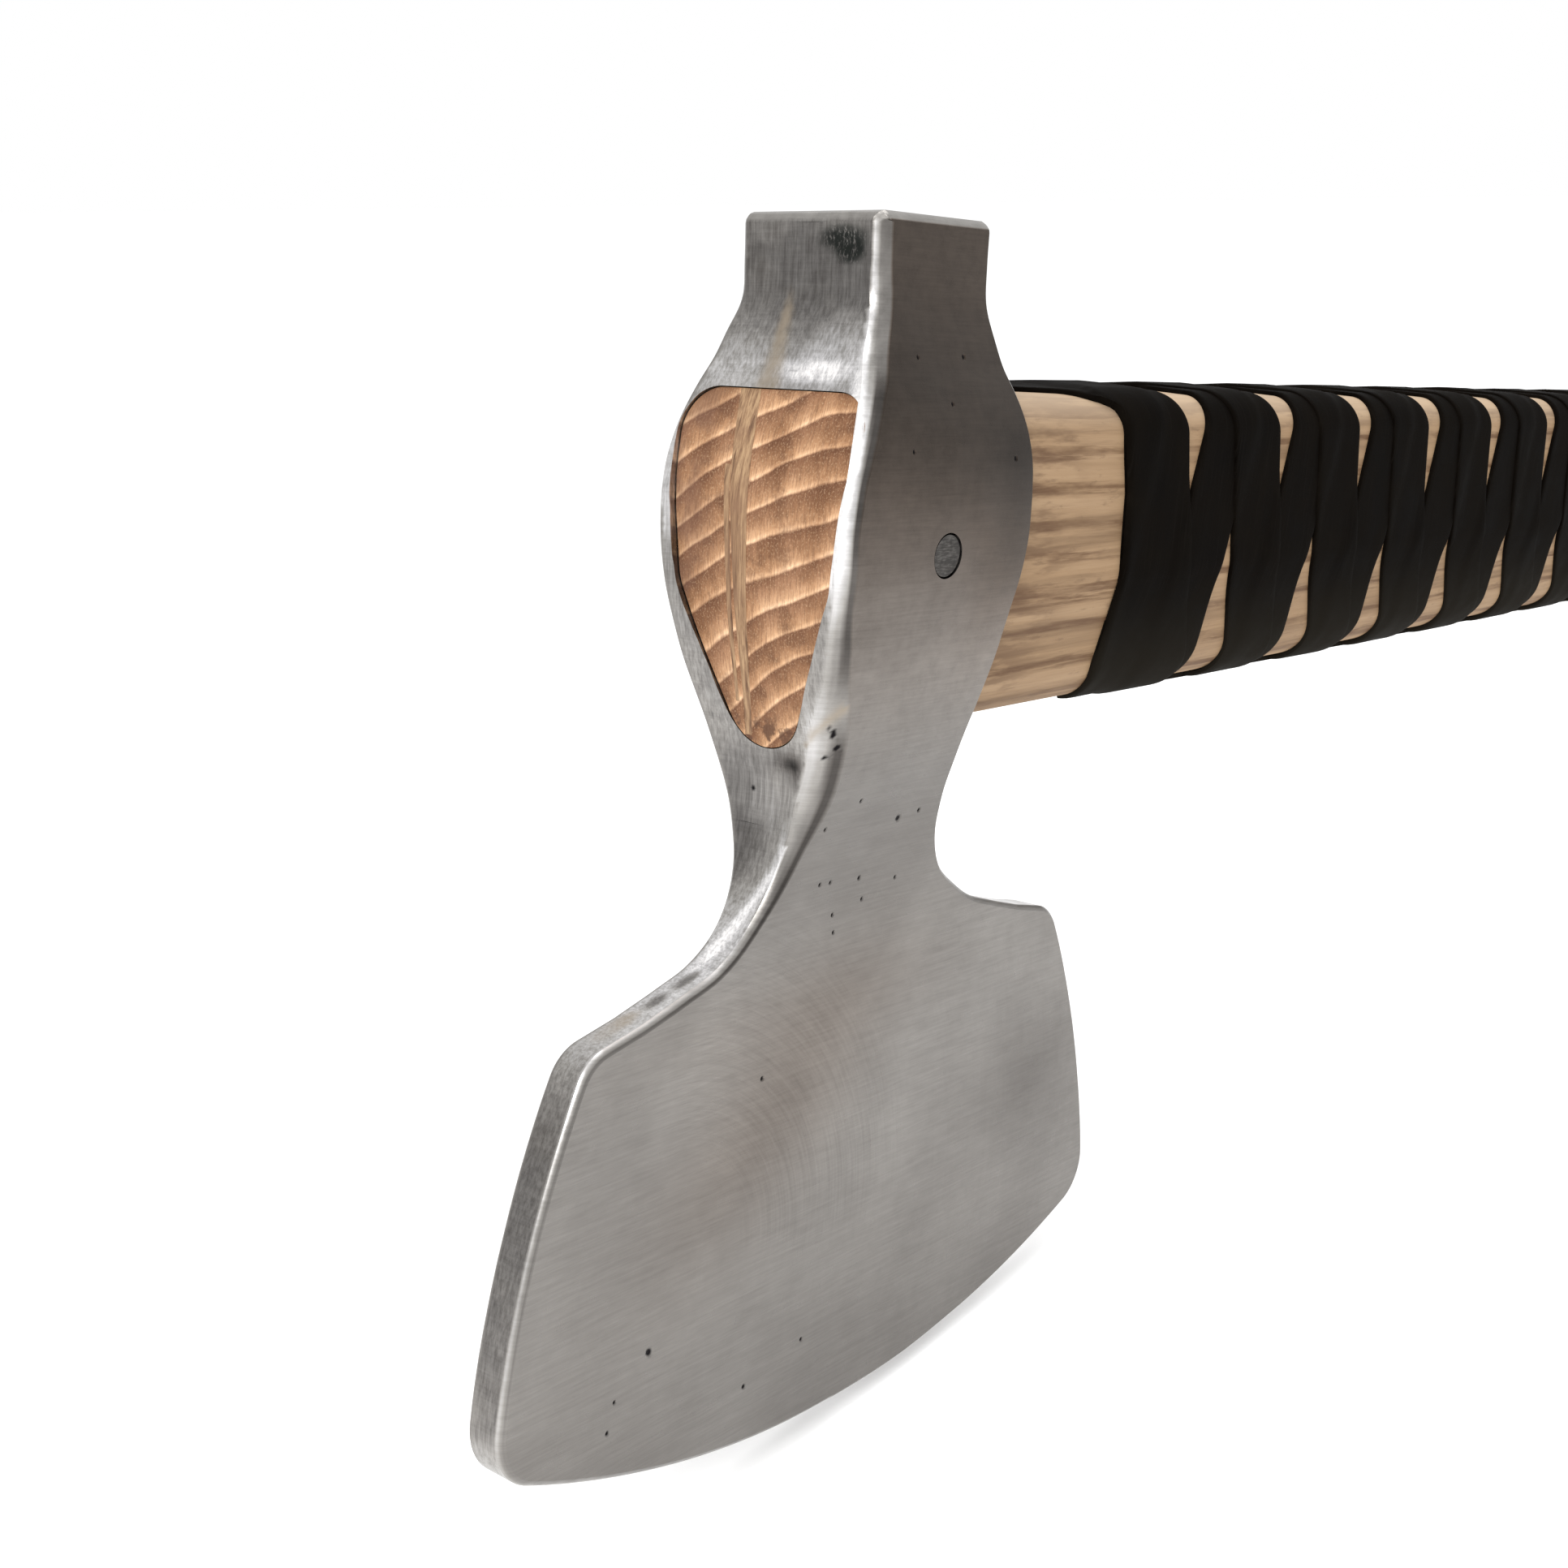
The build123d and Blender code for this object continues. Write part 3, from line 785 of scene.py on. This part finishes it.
def steel(name):
    """Worn steel; its brightness, warmth and marks come from the vertices, and the brightness holds painted
    highlights, painted reflections and painted shade.
    """
    m = Nodes(name)
    pos = m.place()
    sep = m.add("ShaderNodeSeparateXYZ")
    m.link(pos, sep.inputs[0])
    x, z = sep.outputs["X"], sep.outputs["Z"]
    blotch = m.noise(pos, 0.06, 4, 0.55)
    mottle = m.noise(pos, 0.5, 5, 0.65)
    # grinding swirls on the blade, plain cross lines on the cheeks
    swirl_x, swirl_z = -33.0, -82.0
    dx, dz = m.math("ADD", x, -swirl_x), m.math("ADD", z, -swirl_z)
    r = m.math("SQRT", m.math("ADD", m.math("MULTIPLY", dx, dx), m.math("MULTIPLY", dz, dz)))
    swirl_vec = m.add("ShaderNodeCombineXYZ")
    m.feed(swirl_vec, {"X": r, "Y": m.math("MULTIPLY", x, 0.06), "Z": m.math("MULTIPLY", z, 0.03)})
    swirl = m.noise(swirl_vec.outputs[0], 1.9, 5, 0.75)
    near = m.math("MULTIPLY", m.span(r, 54.0, 34.0), m.span(r, 9.0, 20.0))
    facing = m.math("DIVIDE", m.math("ADD", m.math("MULTIPLY", dx, 0.72), m.math("MULTIPLY", dz, 0.69)), r)
    near = m.math("MULTIPLY", near, m.span(facing, 0.45, 0.85))
    cross = m.noise(m.place((0.10, 0.10, 2.1), (0, 0, 0), (0, 0.06, 0)), 1.0, 5, 0.7)
    hair = m.noise(m.place((0.25, 0.25, 6.0), (0, 0, 0), (0, -0.35, 0)), 1.0, 2, 0.6)
    up_down = m.noise(m.place((2.4, 2.4, 0.16)), 1.0, 4, 0.7)
    toe_face = m.attr("toe")
    line = m.math("ADD", m.math("MULTIPLY", m.span(swirl, 0.25, 0.75, -0.12, 0.12), near),
                  m.span(cross, 0.25, 0.75, -0.075, 0.075))
    line = m.math("ADD", line, m.span(hair, 0.2, 0.8, -0.05, 0.05))
    line = m.math("ADD", line, m.math("MULTIPLY", m.span(up_down, 0.25, 0.75, -0.32, 0.32), toe_face))
    line = m.math("ADD", line, m.span(blotch, 0.3, 0.7, -0.08, 0.08))
    patchy = m.math("MULTIPLY", m.span(mottle, 0.3, 0.7, -0.09, 0.09), m.span(z, -46.0, -10.0))
    line = m.math("ADD", line, patchy)
    light = m.math("MULTIPLY", m.attr("tone"), m.math("ADD", line, 1.0))
    base = m.ramp(light, [(0.0, (0.0, 0.0, 0.0)), (0.10, (0.107, 0.098, 0.091)),
                          (0.30, (0.312, 0.298, 0.280)), (0.62, (0.630, 0.618, 0.615)),
                          (1.0, (0.985, 0.965, 0.955))])
    base = m.mix(m.math("MULTIPLY", m.span(blotch, 0.42, 0.62), m.math("MULTIPLY", toe_face, 0.5)), base,
                 (0.20, 0.205, 0.225), "SOFT_LIGHT")
    base = m.mix(m.attr("warm"), base, (1.10, 0.955, 0.845), "MULTIPLY")
    base = m.mix(m.math("MULTIPLY", m.attr("weld"), m.span(mottle, 0.2, 0.6, 0.35, 0.75)), base,
                 (0.33, 0.27, 0.20))
    smut = m.noise(m.place((2.6, 2.6, 1.1)), 1.0, 4, 0.75)
    base = m.mix(m.math("MULTIPLY", m.attr("smudge"), m.span(smut, 0.32, 0.50)), base, (0.020, 0.022, 0.020))
    # near black in pits and cracks, and painted shade on the walls of the gaps round the pin and the wood
    base = m.mix(m.span(m.attr("pit"), 0.15, 0.7), base, (0.010, 0.009, 0.010))
    rough = m.math("ADD", m.span(mottle, 0.3, 0.7, 0.27, 0.38), m.span(swirl, 0.3, 0.7, -0.02, 0.04))
    n1 = m.bump(mottle, 0.12, 0.15)
    n2 = m.bump(m.math("MULTIPLY", swirl, near), 0.25, 0.05, n1)
    n3 = m.bump(hair, 0.18, 0.02, n2)
    return m.out(base=base, rough=rough, metal=1.0, normal=n3)


def wood(name):
    """Ash: growth rings on the sawn end, long grain along the sides."""
    m = Nodes(name)
    geo = m.add("ShaderNodeNewGeometry")
    sep = m.add("ShaderNodeSeparateXYZ")
    m.link(geo.outputs["Normal"], sep.inputs[0])
    end = m.span(m.math("ABSOLUTE", sep.outputs["X"]), 0.55, 0.75)
    # growth rings round a pith far below the section
    at = m.add("ShaderNodeSeparateXYZ")
    m.link(m.place(), at.inputs[0])
    y, z = at.outputs["Y"], at.outputs["Z"]
    pith_y, pith_z, ring_gap = -30.0, -62.0, 3.55
    dy, dz = m.math("ADD", y, -pith_y), m.math("ADD", z, -pith_z)
    r = m.math("SQRT", m.math("ADD", m.math("MULTIPLY", dy, dy), m.math("MULTIPLY", dz, dz)))
    sway = m.noise(m.place((0, 1, 1)), 0.055, 2, 0.4)
    jitter = m.noise(m.place((0, 1, 1)), 0.9, 4, 0.65)
    r = m.math("ADD", r, m.math("ADD", m.math("MULTIPLY", sway, 5.0), m.math("MULTIPLY", jitter, 0.30)))
    phase = m.math("FRACT", m.math("DIVIDE", r, ring_gap))
    rings = m.ramp(phase, [(0.0, (0.50, 0.305, 0.175)), (0.12, (0.34, 0.190, 0.100)),
                           (0.45, (0.215, 0.110, 0.056)), (0.78, (0.150, 0.071, 0.036)),
                           (0.90, (0.130, 0.060, 0.031)),
                           (0.97, (0.47, 0.285, 0.165)), (1.0, (0.52, 0.325, 0.190))])
    patch = m.noise(m.place((0, 0.16, 0.12), (0, 4.1, 1.7)), 1.0, 4, 0.6)
    saw = m.noise(m.place((0, 4.4, 0.55)), 1.0, 4, 0.7)
    pore = m.noise(m.place((0, 3.0, 2.4)), 1.4, 3, 0.7)
    tint = m.ramp(patch, [(0.36, (0.80, 0.72, 0.66)), (0.50, (1.24, 1.23, 1.22)),
                          (0.64, (1.62, 1.72, 1.84))])
    face = m.mix(1.0, rings, tint, "MULTIPLY")
    shade = m.noise(m.place((0, 0.20, 0.26), (0, 7.3, 2.2)), 1.0, 4, 0.6)
    face = m.mix(m.span(shade, 0.52, 0.66, 0.0, 0.50), face, (0.105, 0.046, 0.024))
    face = m.mix(m.span(saw, 0.42, 0.62, 0.0, 0.42), face, (0.085, 0.036, 0.019))
    face = m.mix(m.span(pore, 0.50, 0.70, 0.0, 0.42), face, (0.52, 0.35, 0.21))
    tip_of_eye = m.span(z, -15.5, -19.0)
    torn = m.span(m.noise(m.place((0, 1, 1)), 0.45, 3, 0.6), 0.48, 0.60)
    low = m.math("MULTIPLY", tip_of_eye, torn)
    face = m.mix(m.math("MULTIPLY", low, 0.8), face, (0.075, 0.036, 0.022))
    far_side = m.span(y, 4.0, 12.0)
    cloudy = m.span(m.noise(m.place((0, 1, 1)), 0.16, 3), 0.42, 0.6)
    far_dark = m.math("MULTIPLY", far_side, cloudy)
    face = m.mix(m.math("MULTIPLY", far_dark, 0.55), face, (0.12, 0.06, 0.04))
    # long grain
    grain = m.noise(m.place((0.012, 0.28, 0.34), (3.1, 0, 0)), 1.0, 5, 0.62, 0.4)
    streak = m.noise(m.place((0.05, 1.4, 1.7)), 1.0, 4, 0.7)
    spots = m.noise(m.place((0.20, 0.8, 0.8)), 1.0, 4, 0.65)
    side = m.ramp(grain, [(0.30, (0.170, 0.102, 0.054)), (0.40, (0.235, 0.150, 0.084)),
                          (0.52, (0.310, 0.202, 0.114)), (0.70, (0.375, 0.254, 0.150))])
    side = m.mix(m.span(streak, 0.50, 0.72, 0.0, 0.26), side, (0.105, 0.057, 0.032))
    side = m.mix(m.span(spots, 0.56, 0.72, 0.0, 0.34), side, (0.085, 0.046, 0.027))
    # the rings run out along the side as brown lines
    lane_gap = 4.7
    wander = m.span(m.noise(m.place((0.006, 0.1, 0.12)), 1.0, 3, 0.6), 0.3, 0.7, -0.9, 0.9)
    fray = m.span(m.noise(m.place((0.05, 0.9, 1.1)), 1.0, 4, 0.7), 0.3, 0.7, -0.55, 0.55)
    lane = m.math("ADD", z, m.math("ADD", wander, fray))
    lane = m.math("FRACT", m.math("DIVIDE", m.math("ADD", lane, 2.2), lane_gap))
    lane = m.math("MULTIPLY", m.span(lane, 0.30, 0.47), m.span(lane, 0.72, 0.50))
    worn = m.noise(m.place((0.06, 0.3, 0.3), (5.0, 0, 0)), 1.0, 4, 0.65)
    side = m.mix(m.math("MULTIPLY", lane, m.span(worn, 0.30, 0.62, 0.30, 0.88)), side, (0.110, 0.056, 0.027))
    grime = m.math("MULTIPLY", m.span(at.outputs["X"], 34.0, 20.0), m.span(worn, 0.44, 0.58, 0.0, 0.55))
    side = m.mix(grime, side, (0.120, 0.066, 0.036))
    # painted light: the top of the haft is painted lighter as if lit from above
    painted_top_light = m.span(z, 15.5, 20.5, 0.0, 0.55)
    side = m.mix(painted_top_light, side, (0.50, 0.385, 0.27))
    base = m.mix(end, side, face)
    n = m.bump(saw, 0.35, 0.12)
    n = m.bump(streak, 0.2, 0.06, n)
    return m.out(base=base, rough=m.span(patch, 0.3, 0.7, 0.58, 0.74), normal=n, spec=0.15)


def wedge_wood(name):
    """Pale wood of the wedges, grain along Z."""
    m = Nodes(name)
    long = m.noise(m.place((1, 2.2, 0.07)), 1.0, 4, 0.6)
    fine = m.noise(m.place((1, 5.0, 0.7)), 1.0, 3, 0.6)
    patch = m.noise(m.place((1, 0.3, 0.16)), 1.0, 3, 0.6)
    base = m.ramp(long, [(0.32, (0.085, 0.042, 0.022)), (0.43, (0.215, 0.124, 0.066)),
                         (0.60, (0.35, 0.225, 0.124))])
    base = m.mix(m.span(fine, 0.46, 0.70, 0.0, 0.5), base, (0.10, 0.05, 0.03))
    base = m.mix(m.span(patch, 0.5, 0.7, 0.0, 0.5), base, (0.19, 0.105, 0.060))
    rough = m.span(fine, 0.3, 0.7, 0.58, 0.72)
    return m.out(base=base, rough=rough, normal=m.bump(fine, 0.3, 0.08), spec=0.25)


def pin_steel(name):
    """Dark ground steel of the pin and the tacks."""
    m = Nodes(name)
    a = m.noise(m.place((0.7, 1, 4.5), (0, 0, 0), (0, 0.8, 0)), 1.0, 4, 0.6)
    b = m.noise(m.place((1.2, 1, 1.2)), 0.8, 4, 0.6)
    base = m.mix(m.span(a, 0.4, 0.7), (0.040, 0.036, 0.033), (0.105, 0.099, 0.092))
    base = m.mix(m.span(b, 0.4, 0.65, 0.0, 0.6), base, (0.030, 0.028, 0.026))
    return m.out(base=base, rough=m.span(b, 0.3, 0.7, 0.28, 0.42), metal=1.0, normal=m.bump(a, 0.25, 0.03))


def rubber(name):
    """Matt black wrap, a little dusty, and paler underneath from painted bounce light of the floor."""
    m = Nodes(name)
    lines = m.noise(m.place((3.2, 0.10, 0.10)), 1.0, 4, 0.6)
    cloud = m.noise(m.place(), 0.12, 4, 0.6)
    dust = m.noise(m.place(), 2.4, 2, 0.7)
    base = m.ramp(cloud, [(0.3, (0.0018, 0.0012, 0.0008)), (0.7, (0.0052, 0.0040, 0.0029))])
    at = m.add("ShaderNodeSeparateXYZ")
    m.link(m.place(), at.inputs[0])
    # painted bounce light from the floor: the lower half of the wrap is paler
    base = m.mix(m.span(at.outputs["Z"], -4.0, -19.0, 0.0, 0.7), base, (0.0150, 0.0128, 0.0095))
    base = m.mix(m.span(lines, 0.5, 0.8, 0.0, 0.3), base, (0.012, 0.0100, 0.0085))
    base = m.mix(m.span(dust, 0.74, 0.84, 0.0, 0.4), base, (0.06, 0.055, 0.05))
    n = m.bump(lines, 0.3, 0.06)
    n = m.bump(dust, 0.2, 0.03, n)
    return m.out(base=base, rough=m.span(cloud, 0.3, 0.7, 0.62, 0.78), normal=n, spec=0.012)


def floor_paper(name):
    """White backdrop paper."""
    m = Nodes(name)
    tone = m.noise(m.place(), 0.004, 3)
    m.feed(m.shader, {"Emission Color": (1, 1, 1, 1), "Emission Strength": 0.10})
    return m.out(base=m.ramp(tone, [(0.3, (0.92, 0.92, 0.92)), (0.7, (0.94, 0.94, 0.94))]),
                 rough=m.span(tone, 0.3, 0.7, 0.8, 0.9), spec=0.0)


# ------------------------------------------------------------------ the axe
head_obj = head()
head_obj.data.materials.append(steel("head_steel_worn"))
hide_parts("axe_head")
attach(head_obj, "root")

rubber_mat = rubber("wrap_rubber_black")
for name, hand, node, seed in (("wrap_first", 1, "grip_wrap_first_strip", 21),
                               ("wrap_second", -1, "grip_wrap_second_strip", 31)):
    strip = wrap_strip(name, hand, seed)
    strip.data.materials.append(rubber_mat)
    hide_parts(node)
    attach(strip, "root")

wood_mat, wedge_mat, metal = wood("haft_ash"), wedge_wood("wedge_pale"), pin_steel("pin_ground")
for node, mat in (("haft", wood_mat), ("eye_wedge_main", wedge_mat), ("eye_wedge_side", wedge_mat),
                  ("cross_pin", metal), ("wrap_tacks", metal)):
    for o in bpy.data.objects:
        if o.type == "MESH" and (o.name == node or o.name.startswith(node + ".")):
            o.data.materials.clear()
            o.data.materials.append(mat)

# ------------------------------------------------------------------ camera, in the frame of the axe
YAW, PITCH, ROLL = math.radians(39.61), math.radians(12.04), math.radians(2.07)
EYE_POINT = Vector((-0.1995, -0.1554, 0.0258))
LENS = 47.27


def camera():
    """Camera of the main view, turned by the yaw, pitch and roll above."""
    ahead = Vector((math.cos(YAW) * math.cos(PITCH), math.sin(YAW) * math.cos(PITCH), -math.sin(PITCH)))
    right = ahead.cross(Vector((0, 0, 1))).normalized()
    up = right.cross(ahead)
    c, s = math.cos(ROLL), math.sin(ROLL)
    right, up = c * right + s * up, c * up - s * right
    data = bpy.data.cameras.new("camera")
    data.lens = LENS
    data.sensor_width = 36.0
    data.clip_start = 0.01
    cam = bpy.data.objects.new("camera", data)
    bpy.context.scene.collection.objects.link(cam)
    cam.matrix_world = Matrix.Translation(EYE_POINT) @ Matrix((right, up, -ahead)).transposed().to_4x4()
    bpy.context.scene.camera = cam


camera()


def area(name, loc, target, size, power):
    """Square lamp at loc that faces target."""
    lamp = bpy.data.lights.new(name, "AREA")
    lamp.energy = power
    lamp.size = size
    o = bpy.data.objects.new(name, lamp)
    bpy.context.scene.collection.objects.link(o)
    o.location = loc
    o.rotation_euler = (Vector(target) - o.location).to_track_quat("-Z", "Y").to_euler()


area("key", (-0.95, -0.30, 0.55), (0, 0, -0.03), 0.45, 8)
area("top", (0.15, 0.05, 1.1), (0.1, 0, 0), 0.8, 6)

world = bpy.data.worlds.new("studio")
bpy.context.scene.world = world
world.use_nodes = True
world.node_tree.nodes["Background"].inputs["Color"].default_value = (1, 1, 1, 1)
world.node_tree.nodes["Background"].inputs["Strength"].default_value = 1.0
bpy.context.scene.view_settings.view_transform = "Standard"


def floor():
    """Plain paper the axe rests on with its blade and butt."""
    up = Vector((-0.122, -0.05, 0.991)).normalized()
    at = Vector((0.0173, 0.001, -0.1125))
    a = up.orthogonal().normalized()
    c = up.cross(a)
    b = Builder()
    steps = np.linspace(-2500, 2500, 21)
    b.grid([[tuple((at / MM) + a * u + c * v) for u in steps] for v in steps])
    o = b.make("floor")
    o.data.materials.append(floor_paper("floor_paper"))


floor()
